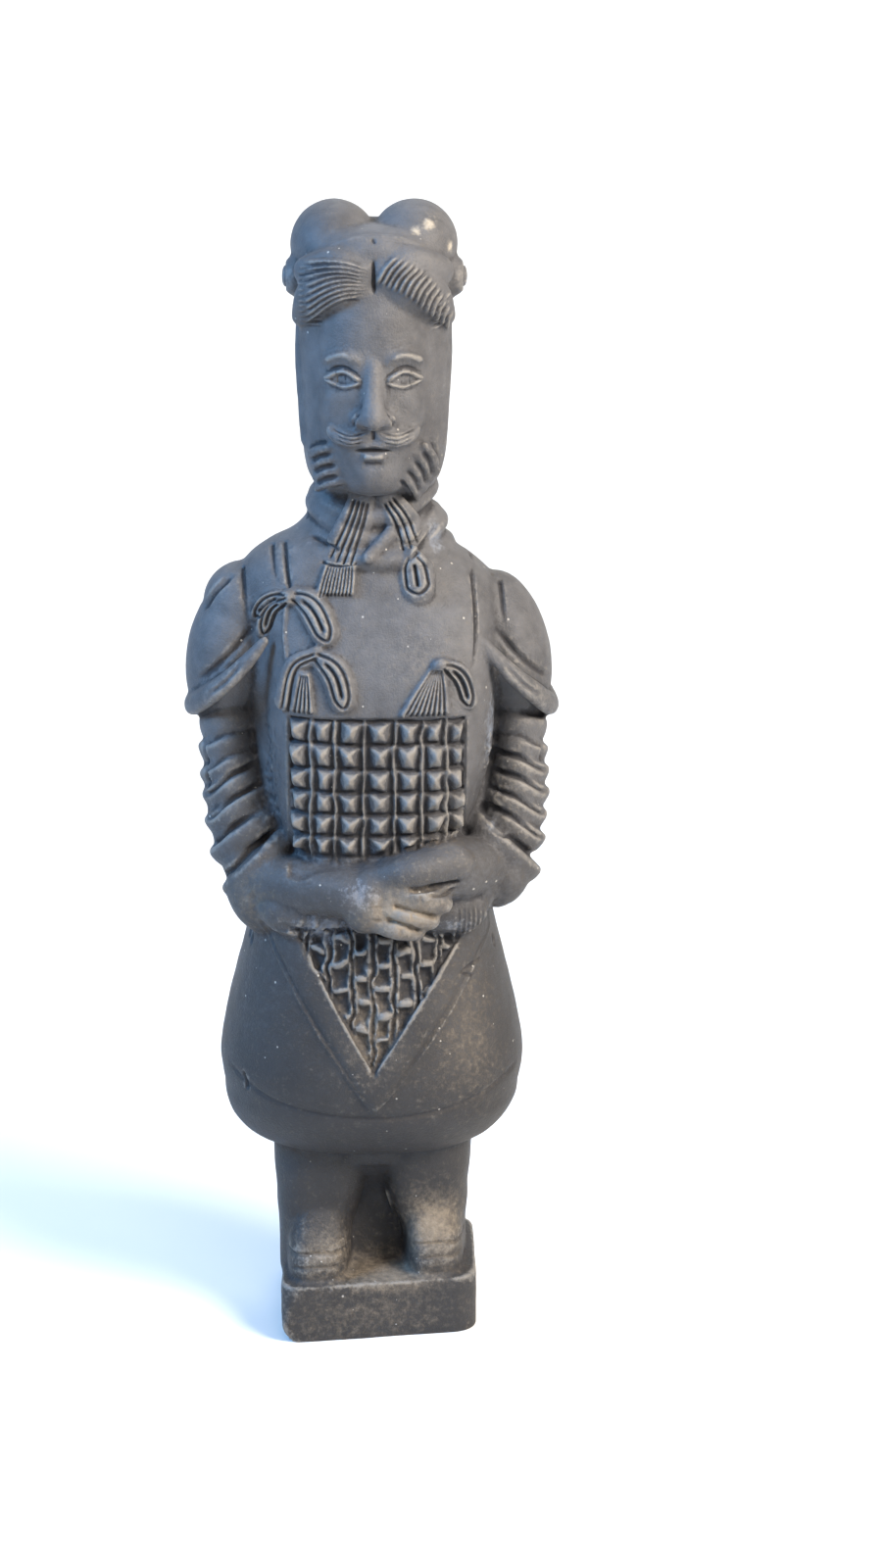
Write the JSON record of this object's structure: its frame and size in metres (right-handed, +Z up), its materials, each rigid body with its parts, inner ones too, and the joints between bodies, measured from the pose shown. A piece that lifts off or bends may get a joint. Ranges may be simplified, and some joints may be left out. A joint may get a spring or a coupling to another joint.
{
  "type": "terracotta warrior figurine",
  "caption": "Moulded clay figurine of a standing ancient warrior officer with hands folded over scale armour, in one piece with its low base.",
  "frame": {"origin": "middle of the flat underside of the base, under the figure's axis", "axes": "+Z up from the base to the crown, -Y the way the figure faces, +X to the right of someone who looks at its face"},
  "size_m": [0.0667, 0.0476, 0.2004],
  "materials": {
    "dark_clay": "matte, low-fired dark grey clay, rubbed lighter on its edges, with buff dirt in its hollows"
  },
  "bodies": {
    "root": {"warrior_statue": "dark_clay"}
  },
  "joints": []
}
